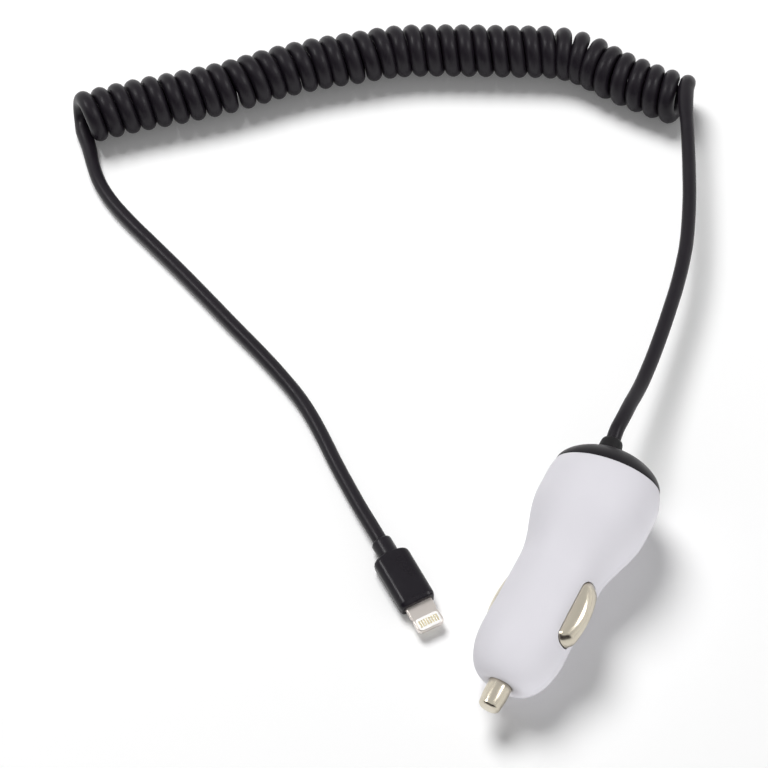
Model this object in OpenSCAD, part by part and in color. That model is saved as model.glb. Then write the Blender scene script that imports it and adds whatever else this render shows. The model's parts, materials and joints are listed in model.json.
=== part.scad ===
// Plug-in vehicle charger for a 12 volt socket, with a curly lead and an 8-pin connector.
// Millimetres, +Z up. The charger lies at rest along Y with its tip contact towards -Y.

/* [Housing] */
// Diameter of the barrel that enters the socket
barrel_d = 20.5; // [19.5:0.1:21]
// Diameter of the round head behind the barrel
head_d = 27.5; // [25:0.5:30]
// Diameter of the waist between barrel and head
waist_d = 20.1; // [19:0.1:20.4]
// Length of the rounded nose
nose_len = 11.3; // [9:0.1:13]
// Diameter of the flat face at the end of the nose
nose_face_d = 8.8; // [8:0.1:10]
// Distance from the nose face to the middle of the flare
flare_at = 38.2; // [37:0.1:41]
// Length of the flare from waist to head
flare_len = 17.5; // [14:0.5:18]
// Distance from the nose face to the centre of the round head
head_at = 51.3; // [50:0.1:54]
// Wall thickness of the shell
shell_wall = 1.8; // [1.5:0.1:2.2]
// Thickness of the nose wall
nose_wall = 2.2; // [1.8:0.1:2.6]

/* [End cap] */
// Distance from the head's centre to the seam with the end cap
seam_at = 5.2; // [4.5:0.1:6]
// Lean of the end cap away from the barrel's axis
cap_lean = 8.5; // [0:0.5:10]
// Direction of the lean, turned from the front of the head
cap_lean_turn = -31; // [-60:1:60]
// Height of the domed cap above the seam
cap_rise = 6.7; // [5.5:0.1:8]
// Wall thickness of the cap
cap_wall = 1.6; // [1.4:0.1:2]
// Length of the spigot that plugs into the shell
spigot_len = 3.6; // [3:0.1:4.2]
// Offset of the lead's exit from the middle of the cap
exit_offset = 1.8; // [0:0.1:2.5]

/* [Tip contact] */
// Distance that the tip contact stands out of the nose
tip_reach = 6.2; // [5.5:0.1:7]
// Diameter of the tip contact where it leaves the nose
tip_d = 5.6; // [5:0.1:6]
// Diameter of the tip contact at its end face
tip_end_d = 5.1; // [4.6:0.1:5.4]
// Travel of the tip contact into the nose
tip_travel = 3; // [2:0.1:3.4]
// Outer diameter of the tip spring
spring_d = 5; // [4.6:0.1:5.4]
// Wire diameter of the tip spring
spring_wire = 0.5; // [0.4:0.05:0.6]
// Turns of the tip spring
spring_turns = 6; // [5:1:7]

/* [Ground contacts] */
// Distance from the nose face to the middle of the ground contacts
ground_at = 20.9; // [20:0.1:22]
// Length of a ground contact
ground_len = 16.4; // [15:0.1:17]
// Width of a ground contact
ground_w = 5.6; // [5:0.1:6]
// Distance that a ground contact's crest stands out of the barrel
ground_proud = 2.8; // [2.4:0.1:3]
// Radius of the crest along the length of a ground contact
ground_bow = 17; // [14:1:26]
// Distance of the crest's highest point from the middle, towards the nose
ground_peak = 0.8; // [0:0.1:2]
// Sheet thickness of a ground contact
ground_sheet = 0.5; // [0.4:0.05:0.6]
// Travel of a ground contact into the barrel
ground_travel = 2.5; // [2:0.1:2.7]

/* [Circuit board] */
// Thickness of the circuit board
board_t = 1; // [0.8:0.1:1.2]
// Width of the board's narrow part between the ground contacts
board_neck_w = 6; // [6:0.1:7]
// Width of the board's wide part in the head
board_w = 18; // [16:0.5:19]
// Diameter of the inductor
coil_d = 8; // [7:0.5:9]
// Height of the inductor
coil_h = 5.5; // [4.5:0.5:6]

/* [Lead] */
// Diameter of the lead
lead_d = 3.5; // [3.3:0.1:3.7]
// Outer diameter of the curly part of the lead
curl_d = 13.9; // [13:0.1:14.5]

/* [Connector] */
// Length of the connector boot
boot_len = 14.2; // [13:0.1:15]
// Width of the connector boot
boot_w = 9; // [8.6:0.1:9.6]
// Thickness of the connector boot
boot_t = 5.2; // [4.8:0.1:5.6]
// Diameter of the neck behind the boot
neck_d = 5; // [4.8:0.1:5.2]
// Length of the neck behind the boot
neck_len = 4.6; // [4:0.1:5]
// Width of the connector tab
tab_w = 6.7; // [6.6:0.05:6.8]
// Thickness of the connector tab
tab_t = 1.5; // [1.45:0.05:1.55]
// Length of the connector tab outside the boot
tab_len = 6.9; // [6.6:0.1:7.2]
// Pitch of the contacts on the tab
pin_pitch = 0.6; // [0.55:0.01:0.62]

/* [Hidden] */
pin_count = 8;
$fn = 96;
fit = 0.05;
gap = 0.1;

barrel_r = barrel_d / 2;
head_r = head_d / 2;
waist_r = waist_d / 2;
nose_face_r = nose_face_d / 2;
seam_r = sqrt(head_r * head_r - seam_at * seam_at);
tip_r = tip_d / 2;
tip_end_r = tip_end_d / 2;
bore_r = tip_r + fit;
flange_r = tip_r + 1.2;
flange_t = 1.2;
guide_t = 1;
guide_len = tip_travel + flange_t + 3;
spring_len = 10;
terminal_t = 0.6;
terminal_at = nose_wall + flange_t + spring_len;
lead_r = lead_d / 2;
curl_r = curl_d / 2;

// Outline of the housing from the nose face to the back of the head, as [radius, distance]
function ease(a, b, u) = a + (b - a) * (1 - cos(180 * u)) / 2;
flare_from = flare_at - flare_len / 2;
taper_len = 9;
nose_line = [for (a = [0 : 7.5 : 90])
    [nose_face_r + (barrel_r - nose_face_r) * sin(a), nose_len * (1 - cos(a))]];
waist_line = [for (u = [0.25 : 0.25 : 1]) [ease(barrel_r, waist_r, u), nose_len + taper_len * u]];
flare_line = [for (u = [0 : 0.0625 : 1]) [ease(waist_r, head_r, u), flare_from + flare_len * u]];
function head_arc(r, to) = [for (a = [0 : 3 : to]) [r * cos(a), head_at + r * sin(a)]];
body_line = concat(nose_line, waist_line, flare_line);
arc_to = 48;

// The charger rests on the floor on its nose and its head, rolled a little about its axis
roll = 29;
tip_end_y = -36;
head_line = concat(flare_line, head_arc(head_r, arc_to));
function drop(line, tilt) = max([for (p = line) p[0] * cos(tilt) + (head_at - p[1]) * sin(tilt)]);
function settle(tilt, tries) = tries == 0 ? tilt
    : settle(tilt + (drop(head_line, tilt) - drop(nose_line, tilt)) * 57.3 / (flare_at - nose_len), tries - 1);
rest_tilt = settle(5, 8);
head_height = drop(head_line, rest_tilt);
tip_height = head_height - (head_at + tip_reach) * sin(rest_tilt);

module lay_charger() {
    translate([0, tip_end_y, tip_height])
        rotate([rest_tilt - 90, 0, 0])
            rotate([0, 0, -roll])
                translate([0, 0, tip_reach])
                    children();
}

module lean_cap() {
    translate([0, 0, head_at])
        rotate([0, 0, cap_lean_turn])
            rotate([cap_lean, 0, 0])
                children();
}

// Points along a smooth curve through a few stations
function blend(p0, p1, p2, p3, u) = 0.5 * (2 * p1 + (p2 - p0) * u
    + (2 * p0 - 5 * p1 + 4 * p2 - p3) * u * u + (3 * p1 - p0 - 3 * p2 + p3) * u * u * u);
function smooth(pts, steps) = concat(
    [for (i = [0 : len(pts) - 2], k = [0 : steps - 1])
        blend(pts[max(i - 1, 0)], pts[i], pts[i + 1], pts[min(i + 2, len(pts) - 1)], k / steps)],
    [pts[len(pts) - 1]]);

function unit(v) = v / norm(v);
function heading(pts, i) = unit(pts[min(i + 1, len(pts) - 1)] - pts[max(i - 1, 0)]);
function side_of(h) = unit(cross(abs(h[2]) > 0.9 ? [0, 1, 0] : [0, 0, 1], h));

// A round tube of constant radius along a list of points
module sweep(pts, r, sides) {
    rings = len(pts);
    points = [for (i = [0 : rings - 1], k = [0 : sides - 1])
        let (h = heading(pts, i), s = side_of(h), n = cross(h, s), a = 360 * (k + 0.5) / sides)
            pts[i] + r * (cos(a) * s + sin(a) * n)];
    walls = [for (i = [0 : rings - 2], k = [0 : sides - 1], half = [0, 1])
        let (m = (k + 1) % sides, far = (i + 1) * sides)
            half == 0 ? [i * sides + k, far + k, far + m] : [i * sides + k, far + m, i * sides + m]];
    first = [for (k = [0 : sides - 1]) k];
    last = [for (k = [sides - 1 : -1 : 0]) (rings - 1) * sides + k];
    polyhedron(points, concat(walls, [first, last]), convexity = 10);
}

module tube(r_out, r_in, h) {
    difference() {
        cylinder(r = r_out, h = h);
        translate([0, 0, -1])
            cylinder(r = r_in, h = h + 2);
    }
}

// A slab with round ends, its length along Z and its thickness along X
module slot_slab(length, width, x0, x1) {
    translate([x0, 0, 0])
        rotate([0, 90, 0])
            linear_extrude(x1 - x0)
                union() {
                    for (s = [-1, 1])
                        translate([s * (length - width) / 2, 0])
                            circle(d = width);
                    square([length - width, width], center = true);
                }
}

module housing_solid() {
    line = concat(body_line, head_arc(head_r, arc_to));
    rotate_extrude()
        polygon(concat([[0, 0]], line, [[0, line[len(line) - 1][1]]]));
}

module cavity() {
    inner = [for (p = body_line) if (p[1] > nose_wall + 0.3) [p[0] - shell_wall, p[1]]];
    line = concat(inner, head_arc(head_r - shell_wall, arc_to));
    rotate_extrude()
        polygon(concat([[0, nose_wall], [inner[0][0] - 0.5, nose_wall]], line,
            [[0, line[len(line) - 1][1] + 2]]));
}

// Everything behind the slanted seam, for cutting the shell
module behind_seam(offset) {
    lean_cap()
        translate([0, 0, seam_at + offset])
            cylinder(r = head_d, h = head_d);
}

board_from = terminal_at + terminal_t;
board_wide_from = ground_at + ground_len / 2 + 3.2;
board_to = head_at - 0.5;
guide_w = 3.4;

module board_outline(grow) {
    polygon([
        [-board_neck_w / 2 - grow, board_from], [board_neck_w / 2 + grow, board_from],
        [board_neck_w / 2 + grow, board_wide_from], [board_w / 2 - 2 + grow, board_wide_from + 6],
        [board_w / 2 + grow, board_wide_from + 8], [board_w / 2 + grow, board_to],
        [-board_w / 2 - grow, board_to], [-board_w / 2 - grow, board_wide_from + 8],
        [-board_w / 2 + 2 - grow, board_wide_from + 6], [-board_neck_w / 2 - grow, board_wide_from]]);
}

// Upright slab in the board's plane, at a height above the board's middle
module in_board_plane(thick, grow) {
    translate([0, thick / 2, 0])
        rotate([90, 0, 0])
            linear_extrude(thick)
                board_outline(grow);
}

// Two grooved rails that grip the edges of the board in the head
module board_rails() {
    rail_from = board_wide_from + 7;
    intersection() {
        cavity();
        difference() {
            for (s = [-1, 1])
                translate([s * (board_w / 2 + head_r) / 2 - head_r / 2 + s * -0.8, -guide_w / 2, rail_from])
                    cube([head_r, guide_w, board_to - rail_from - 1.5]);
            in_board_plane(board_t + 2 * fit, fit);
            translate([-board_w / 2 + 1.2, -guide_w, rail_from - 1])
                cube([board_w - 2.4, 2 * guide_w, board_to]);
        }
    }
}

module barrel_shell() {
    color("white")
        lay_charger() {
            difference() {
                union() {
                    difference() {
                        housing_solid();
                        cavity();
                    }
                    translate([0, 0, nose_wall - 0.2])
                        tube(flange_r + fit + guide_t, flange_r + fit, guide_len + 0.2);
                    board_rails();
                }
                translate([0, 0, -1])
                    cylinder(r = bore_r, h = nose_wall + 2);
                for (s = [0, 180])
                    rotate([0, 0, s])
                        translate([0, 0, ground_at])
                            slot_slab(ground_len + 2 * gap, ground_w + 2 * gap,
                                flange_r + fit + guide_t + 1, head_r);
                behind_seam(0);
            }
        }
}

// Radius of the cap's dome at a height above the seam
dome_power = 1.75;
function dome_r(base, rise, s) = base * pow(1 - pow(s / rise, dome_power), 1 / dome_power);
function dome_line(base, rise) = [for (k = [0 : 11])
    let (s = rise * sin(k * 7.5)) [dome_r(base, rise, s), seam_at + s]];
exit_face = seam_at + cap_rise + 0.05;
collar_len = 2.7;
collar_r = lead_r + 0.9;
relief_hole_r = collar_r - 0.5;
relief_flange_r = collar_r + 1.1;

module cap_boss() {
    translate([0, -exit_offset, seam_at])
        cylinder(r = collar_r + 0.25, h = exit_face - seam_at);
}

module end_cap() {
    color([0.06, 0.06, 0.07])
        lay_charger()
            lean_cap()
                difference() {
                    union() {
                        difference() {
                            rotate_extrude()
                                polygon(concat([[0, seam_at]], dome_line(seam_r, cap_rise),
                                    [[0, seam_at + cap_rise]]));
                            rotate_extrude()
                                polygon(concat([[0, seam_at - 1]], [[seam_r - cap_wall, seam_at - 1]],
                                    dome_line(seam_r - cap_wall, cap_rise - cap_wall),
                                    [[0, seam_at + cap_rise - cap_wall]]));
                        }
                        cap_boss();
                        spigot();
                    }
                    translate([0, -exit_offset, seam_at])
                        cylinder(r = relief_hole_r, h = cap_rise + 2);
                    translate([0, -exit_offset, seam_at - spigot_len])
                        cylinder(r = relief_flange_r + fit, h = exit_face - cap_wall - seam_at + spigot_len);
                }
}

// The spigot plugs into the shell, with a snap bead at its end
spigot_r = sqrt(pow(head_r - shell_wall, 2) - seam_at * seam_at) - gap;
bead_r = spigot_r + 0.3;

module spigot() {
    wall = 1.2;
    translate([0, 0, seam_at - spigot_len])
        difference() {
            union() {
                cylinder(r = spigot_r, h = spigot_len + cap_wall);
                translate([0, 0, 0.4])
                    rotate_extrude()
                        polygon([[spigot_r - wall, 0], [spigot_r, 0], [bead_r, 0.5],
                            [bead_r, 0.8], [spigot_r, 1.3], [spigot_r - wall, 1.3]]);
            }
            translate([0, 0, -1])
                cylinder(r = spigot_r - wall, h = spigot_len + cap_wall + 2);
        }
}

// Collar at the exit: a short cone with a rounded shoulder, and a flange inside the cap
relief_line = concat(
    [[collar_r + 0.2, 0], [collar_r, 0.5], [collar_r - 0.15, collar_len - 0.85]],
    [for (a = [15 : 15 : 90]) [collar_r - 0.95 + 0.8 * cos(a), collar_len - 0.8 + 0.8 * sin(a)]],
    [[0, collar_len]]);
relief_in = 1.2;

module strain_relief() {
    color([0.05, 0.05, 0.05])
        lay_charger()
            lean_cap()
                translate([0, -exit_offset, exit_face])
                    rotate_extrude()
                        polygon(concat([[0, -cap_wall - relief_in], [relief_flange_r, -cap_wall - relief_in],
                            [relief_flange_r, -cap_wall], [relief_hole_r - fit, -cap_wall],
                            [relief_hole_r - fit, 0]], relief_line));
}

module tip_contact() {
    color([0.78, 0.74, 0.68])
        lay_charger()
            rotate_extrude()
                polygon(concat(
                    [[0, -tip_reach]],
                    [for (a = [0 : 22.5 : 90]) [tip_end_r - 0.7 + 0.7 * sin(a), -tip_reach + 0.5 - 0.5 * cos(a)]],
                    [[tip_r, -tip_travel - 0.2], [tip_r, nose_wall],
                     [flange_r, nose_wall], [flange_r, nose_wall + flange_t],
                     [spring_d / 2 - spring_wire - gap, nose_wall + flange_t],
                     [spring_d / 2 - spring_wire - gap, nose_wall + flange_t + 2],
                     [0, nose_wall + flange_t + 2]]));
}

module tip_spring() {
    r = (spring_d - spring_wire) / 2;
    rest = spring_len - spring_wire;
    steps = 14;
    color("silver")
        lay_charger()
            translate([0, 0, nose_wall + flange_t + spring_wire / 2])
                sweep([for (i = [0 : steps * spring_turns])
                    [r * cos(360 * i / steps), r * sin(360 * i / steps), rest * i / (steps * spring_turns)]],
                    spring_wire / 2, 6);
}

tail_w = 2.4;
tail_len = 4;
tail_t = 0.4;

module tip_terminal() {
    color([0.8, 0.65, 0.3])
        lay_charger() {
            translate([0, 0, terminal_at])
                cylinder(r = spring_d / 2 + 0.8, h = terminal_t);
            translate([0, 0, terminal_at - 1.4])
                cylinder(r = spring_d / 2 - spring_wire - gap, h = 1.5);
            translate([-tail_w / 2, board_t / 2, terminal_at + terminal_t / 2])
                cube([tail_w, tail_t, tail_len]);
        }
}

crest_x = barrel_r + ground_proud;
flange_x = 7.4;
rim_w = 0.8;
crest_w = ground_w + 0.3;

// A wheel with a half-round rim, its axle along Y, that gives a contact its bowed crest
module crest_wheel(inset) {
    rim = ground_bow - inset;
    r = crest_w / 2 - inset;
    translate([crest_x - ground_bow, 0, -ground_peak])
        rotate([90, 0, 0])
            rotate_extrude()
                union() {
                    translate([rim - r, 0])
                        circle(r = r);
                    translate([0, -r])
                        square([rim - r, 2 * r]);
                }
}

module ground_bar(inset, from) {
    intersection() {
        slot_slab(ground_len - 2 * inset, ground_w - 2 * inset, from, crest_x + 1);
        crest_wheel(inset);
    }
}

// A deep-drawn contact: a round-ended channel with a flange that stays behind the slot
module ground_contact(turn) {
    color([0.78, 0.74, 0.68])
        lay_charger()
            rotate([0, 0, turn])
                translate([0, 0, ground_at])
                    difference() {
                        union() {
                            ground_bar(0, flange_x - ground_sheet);
                            slot_slab(ground_len + 2 * rim_w, ground_w + 2 * rim_w,
                                flange_x - ground_sheet, flange_x);
                        }
                        ground_bar(ground_sheet, flange_x - 2 * ground_sheet);
                    }
}

module ground_contact_right() { ground_contact(0); }
module ground_contact_left() { ground_contact(180); }

// A bowed leaf between the board's edge and the flange of its ground contact
leaf_t = 0.3;
leaf_w = 3;
leaf_half = ground_len / 2 - 0.3;
leaf_from = board_neck_w / 2;
leaf_rise = flange_x - ground_sheet - leaf_from - leaf_t;
leaf_r = (leaf_half * leaf_half + leaf_rise * leaf_rise) / (2 * leaf_rise);

module ground_leaf(turn) {
    color("silver")
        lay_charger()
            rotate([0, 0, turn])
                translate([0, 0, ground_at])
                    intersection() {
                        translate([leaf_from + leaf_t + leaf_r, leaf_w / 2, 0])
                            rotate([90, 0, 0])
                                tube(leaf_r + leaf_t, leaf_r, leaf_w);
                        translate([0, -leaf_w, -leaf_half])
                            cube([flange_x - ground_sheet, 2 * leaf_w, 2 * leaf_half]);
                    }
}

module ground_leaf_right() { ground_leaf(0); }
module ground_leaf_left() { ground_leaf(180); }

module circuit_board() {
    color([0.05, 0.35, 0.15])
        lay_charger()
            in_board_plane(board_t, 0);
}

// A box on the board: side 1 is the back face, side -1 the front face
module on_board(side, x, at, w, l, h) {
    translate([x - w / 2, side > 0 ? board_t / 2 : -board_t / 2 - h, at - l / 2])
        cube([w, h, l]);
}

chip_at = board_from + 7.5;
module converter_chip() {
    color([0.1, 0.1, 0.11])
        lay_charger() {
            translate([0, 0, chip_at])
                difference() {
                    on_board(-1, 0, 0, 3.9, 4.9, 1.5);
                    translate([-1.2, -board_t / 2 - 1.5 + 0.2, -1.7])
                        rotate([90, 0, 0])
                            cylinder(r = 0.4, h = 1);
                }
            for (s = [-1, 1], k = [0 : 3])
                on_board(-1, s * 2.35, chip_at + (k - 1.5) * 1.27, 1, 0.42, 0.5);
        }
}

coil_at = board_wide_from + 12.5;
core_flange = 1;
module inductor_core() {
    color([0.2, 0.2, 0.22])
        lay_charger()
            translate([0, -board_t / 2, coil_at])
                rotate([90, 0, 0])
                    rotate_extrude()
                        polygon([[0, 0], [coil_d / 2, 0], [coil_d / 2, core_flange],
                            [coil_d / 4, core_flange], [coil_d / 4, coil_h - core_flange],
                            [coil_d / 2, coil_h - core_flange], [coil_d / 2, coil_h], [0, coil_h]]);
}

module inductor_winding() {
    color([0.7, 0.35, 0.15])
        lay_charger()
            translate([0, -board_t / 2 - core_flange, coil_at])
                rotate([90, 0, 0])
                    tube(coil_d / 2 - 0.4, coil_d / 4, coil_h - 2 * core_flange);
}

// A can with a crimped groove near its foot, lying along the board on its back face
module can(d, length, at) {
    groove = 0.35;
    translate([0, board_t / 2 + d / 2, at])
        rotate_extrude()
            polygon([[0, 0], [d / 2 - 0.3, 0], [d / 2, 0.3], [d / 2, 1], [d / 2 - groove, 1.3],
                [d / 2 - groove, 1.6], [d / 2, 1.9], [d / 2, length - 0.3],
                [d / 2 - 0.3, length], [0, length]]);
}

input_can_at = board_from + tail_len + 0.6;
module input_capacitor() {
    color([0.12, 0.14, 0.25])
        lay_charger()
            can(5, 9, input_can_at);
}

module output_capacitor() {
    color([0.12, 0.14, 0.25])
        lay_charger()
            can(6.3, 9, coil_at - 6);
}

module diode() {
    color([0.1, 0.1, 0.11])
        lay_charger() {
            on_board(-1, 0, board_wide_from + 3, 2.7, 4.3, 2);
            for (s = [-1, 1])
                on_board(-1, 0, board_wide_from + 3 + s * 2.5, 1.4, 1, 0.3);
        }
}

module board_fuse() {
    color([0.75, 0.7, 0.6])
        lay_charger()
            on_board(-1, 0, board_from + 2.2, 2.5, 3.2, 0.9);
}

module chip_resistors() {
    color([0.08, 0.08, 0.09])
        lay_charger()
            for (x = [-7, 7], k = [0 : 1])
                on_board(1, x, coil_at - 2.6 + 3 * k, 1.25, 2, 0.5);
}

module chip_capacitors() {
    color([0.6, 0.45, 0.3])
        lay_charger()
            for (x = [-6.2, 6.2], k = [0 : 1])
                on_board(-1, x, coil_at - 2.6 + 3 * k, 1.6, 2.4, 1);
}

// Insulated cores from the collar's inner end to the pads at the board's rear edge
core_r = 0.55;
module board_core(side) {
    pad_x = side * 4.5;
    foot = [pad_x, board_t / 2 + core_r, board_to - 3.2];
    turn = [0, 0, cap_lean_turn];
    exit = exit_face - cap_wall - relief_in - 0.2;
    local = [side * 0.8, -exit_offset, exit];
    leaned = [local[0], local[1] * cos(cap_lean) - local[2] * sin(cap_lean),
        local[1] * sin(cap_lean) + local[2] * cos(cap_lean)];
    start = [leaned[0] * cos(turn[2]) - leaned[1] * sin(turn[2]),
        leaned[0] * sin(turn[2]) + leaned[1] * cos(turn[2]), leaned[2] + head_at];
    lay_charger()
        sweep(smooth([start, start - [0, 0, 2.2], foot + [0, 0.3, 4.2], foot + [0, 0, 1.6], foot], 3),
            core_r, 8);
}

module power_core() { color("firebrick") board_core(1); }
module ground_core() { color([0.1, 0.1, 0.1]) board_core(-1); }

// Route of the lead, laid by hand on the floor
exit_stretch = [
    [-3.43, 35.29, 17.54], [-3.77, 37.9, 18], [-3.95, 42.15, 17.5], [-4.3, 46.5, 16.3],
    [-4.6, 51.5, 14.6], [-5, 56.4, 13.4], [-5.9, 64, 12.4], [-7, 71.6, 11.9], [-8.2, 79, 11.7],
    [-9.6, 86.7, 11.6], [-11.3, 94, 11.6], [-13.4, 101.1, 11.7], [-17.6, 111.8, 12],
    [-22.2, 121.8, 12.2], [-27.1, 131.8, 12.5], [-29.6, 137, 12.5], [-31.1, 141.5, 12.3]];
curl_route = [
    [-33, 144.6, curl_r], [-43, 144, curl_r], [-53, 144.2, curl_r], [-62, 145.2, curl_r],
    [-70, 143.8, curl_r], [-80, 139, curl_r], [-90, 134, curl_r], [-100, 128.8, curl_r],
    [-108, 124, curl_r], [-116, 117.4, curl_r], [-124, 110.8, curl_r], [-132, 103, curl_r],
    [-140, 93.8, curl_r], [-149, 85, curl_r], [-159, 76, curl_r], [-168, 67.1, curl_r]];
floor_stretch = [
    [-169.3, 65.6, lead_r], [-166.9, 63.3, lead_r], [-164.4, 60.8, lead_r],
    [-160.8, 56.8, lead_r], [-156, 52.6, lead_r], [-150, 49, lead_r], [-143, 45.9, lead_r],
    [-134, 42.5, lead_r], [-124, 38.7, lead_r], [-114, 34.7, lead_r], [-104, 30.6, lead_r],
    [-94, 26.6, lead_r], [-86, 23.1, lead_r], [-79, 19.6, lead_r], [-73.5, 16.1, lead_r],
    [-68, 12, lead_r], [-63, 8, lead_r], [-57, 3.5, 1.8], [-51, -0.9, 2.1],
    [-46.7, -3.9, 2.5], [-44.6, -5.35, 2.6], [-42.65, -6.7, 2.6]];

module lead_charger_side() {
    color([0.05, 0.05, 0.05])
        sweep(exit_stretch, lead_r, 8);
}

module lead_curl() {
    color([0.05, 0.05, 0.05])
        sweep(curl_route, curl_r, 16);
}

module lead_connector_side() {
    color([0.05, 0.05, 0.05])
        sweep(floor_stretch, lead_r, 8);
}

// The connector lies on the floor, its own X axis from the lead to the tip of the tab
connector_turn = -34.5;
connector_at = [-38.7, -9.4];

module lay_connector() {
    translate([connector_at[0], connector_at[1], boot_t / 2])
        rotate([0, 0, connector_turn])
            children();
}

module round_rect(w, h, r) {
    union() {
        for (x = [-1, 1], y = [-1, 1])
            translate([x * (w / 2 - r), y * (h / 2 - r)])
                circle(r = r);
        square([w - 2 * r, h], center = true);
        square([w, h - 2 * r], center = true);
    }
}

boot_edge = 1.7;
boot_corner = 1.2;
pocket_len = 9;
pocket_wall = 0.8;
board_in = 2.6;
tab_in = 3;

module boot_solid() {
    intersection() {
        rotate([90, 0, 90])
            linear_extrude(boot_len)
                round_rect(boot_w, boot_t, boot_edge);
        translate([boot_len / 2, 0, -boot_t])
            linear_extrude(2 * boot_t)
                round_rect(boot_len, boot_w, boot_corner);
        translate([0, boot_w, 0])
            rotate([90, 0, 0])
                linear_extrude(2 * boot_w)
                    polygon([[0, -boot_t / 2 + 0.6], [0.6, -boot_t / 2], [boot_len - 0.9, -boot_t / 2],
                        [boot_len, -boot_t / 2 + 0.5], [boot_len, boot_t / 2 - 0.5],
                        [boot_len - 0.9, boot_t / 2], [0.6, boot_t / 2], [0, boot_t / 2 - 0.6]]);
    }
}

module connector_boot() {
    color([0.06, 0.06, 0.07])
        lay_connector()
            difference() {
                union() {
                    boot_solid();
                    translate([0.3, 0, 0])
                        rotate([0, -90, 0])
                            rotate_extrude()
                                polygon(concat([[0, 0], [neck_d / 2, 0]],
                                    [for (a = [0 : 22.5 : 90])
                                        [neck_d / 2 - 0.5 + 0.5 * cos(a), neck_len - 0.2 + 0.5 * sin(a)]],
                                    [[0, neck_len + 0.3]]));
                }
                translate([boot_len - pocket_len, -tab_w / 2, -board_pocket_t / 2])
                    cube([pocket_len - tab_in, tab_w, board_pocket_t]);
                translate([boot_len - tab_in, -tab_w / 2, -tab_t / 2])
                    cube([tab_in + 1, tab_w, tab_t]);
            }
}

board_pocket_t = boot_t - 2 * pocket_wall - 0.8;

insert_w = 5.1;
insert_len = 3.5;
insert_back = 1;
pin_x = boot_len + tab_len - insert_back - insert_len / 2;

module tab_plan() {
    r = 1.3;
    translate([boot_len - tab_in, 0])
        union() {
            translate([0, -tab_w / 2])
                square([tab_in + tab_len - r, tab_w]);
            translate([tab_in + tab_len - 2 * r, -tab_w / 2 + r])
                square([2 * r, tab_w - 2 * r]);
            for (s = [-1, 1])
                translate([tab_in + tab_len - r, s * (tab_w / 2 - r)])
                    circle(r = r);
        }
}

module insert_plan() {
    translate([pin_x, 0])
        round_rect(insert_len, insert_w, 0.7);
}

// A solid metal frame with round edges, a window through it and a notch on each side
module connector_tab() {
    edge = 0.45;
    color([0.75, 0.72, 0.68])
        lay_connector()
            difference() {
                intersection() {
                    translate([0, 0, -tab_t / 2])
                        linear_extrude(tab_t)
                            tab_plan();
                    rotate([90, 0, 90])
                        linear_extrude(boot_len + tab_len + 1)
                            round_rect(tab_w, tab_t, edge);
                }
                translate([0, 0, -tab_t])
                    linear_extrude(2 * tab_t)
                        insert_plan();
                for (s = [-1, 1])
                    translate([boot_len + 2.1, s * (tab_w / 2 + 0.35), -tab_t])
                        cylinder(r = 0.75, h = 2 * tab_t);
            }
}

pin_w = 0.36;
pin_len = 2.5;
pin_t = 0.3;

module pin_box(i, face) {
    translate([pin_x - pin_len / 2, (i - (pin_count + 1) / 2) * pin_pitch - pin_w / 2,
        face > 0 ? tab_t / 2 - pin_t : -tab_t / 2])
        cube([pin_len, pin_w, pin_t]);
}

module contact_insert() {
    color("white")
        lay_connector()
            difference() {
                translate([0, 0, -tab_t / 2])
                    linear_extrude(tab_t)
                        insert_plan();
                for (i = [1 : pin_count], face = [-1, 1])
                    pin_box(i, face);
            }
}

module contact(face, i) {
    color("gold")
        lay_connector()
            pin_box(i, face);
}

module connector_board() {
    color([0.05, 0.35, 0.15])
        lay_connector()
            translate([boot_len - pocket_len, -board_in, -0.3])
                cube([pocket_len - tab_in, 2 * board_in, 0.6]);
}

module connector_chip() {
    color([0.1, 0.1, 0.11])
        lay_connector()
            translate([boot_len - pocket_len + 1.4, -1.2, 0.3])
                cube([2.6, 2.4, 0.7]);
}

barrel_shell();
end_cap();
strain_relief();
tip_contact();
tip_spring();
tip_terminal();
ground_contact_right();
ground_contact_left();
ground_leaf_right();
ground_leaf_left();
circuit_board();
converter_chip();
inductor_core();
inductor_winding();
input_capacitor();
output_capacitor();
diode();
board_fuse();
chip_resistors();
chip_capacitors();
power_core();
ground_core();
lead_charger_side();
lead_curl();
lead_connector_side();
connector_boot();
connector_tab();
contact_insert();
connector_board();
connector_chip();
for (i = [1 : pin_count]) {
    contact(1, i);
    contact(-1, i);
}
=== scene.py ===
import json
import math

import bmesh
import bpy
import numpy as np
from mathutils import Matrix, Vector


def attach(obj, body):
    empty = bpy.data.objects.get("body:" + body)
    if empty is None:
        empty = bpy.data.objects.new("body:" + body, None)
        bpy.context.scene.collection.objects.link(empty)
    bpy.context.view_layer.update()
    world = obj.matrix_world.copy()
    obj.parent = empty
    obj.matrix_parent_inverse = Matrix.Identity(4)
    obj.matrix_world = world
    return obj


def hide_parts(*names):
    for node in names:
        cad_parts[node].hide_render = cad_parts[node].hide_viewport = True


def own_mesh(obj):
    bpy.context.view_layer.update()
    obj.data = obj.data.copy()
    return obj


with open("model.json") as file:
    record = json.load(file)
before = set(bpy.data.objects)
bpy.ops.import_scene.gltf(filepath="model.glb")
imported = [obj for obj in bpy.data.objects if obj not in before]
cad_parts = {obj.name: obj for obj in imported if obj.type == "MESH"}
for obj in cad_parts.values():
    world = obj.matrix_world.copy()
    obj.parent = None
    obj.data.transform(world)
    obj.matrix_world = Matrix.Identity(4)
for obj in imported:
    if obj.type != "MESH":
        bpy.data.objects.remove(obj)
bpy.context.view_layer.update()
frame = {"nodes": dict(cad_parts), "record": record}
nodes = frame["nodes"]
mm = 0.001


# camera

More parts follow.
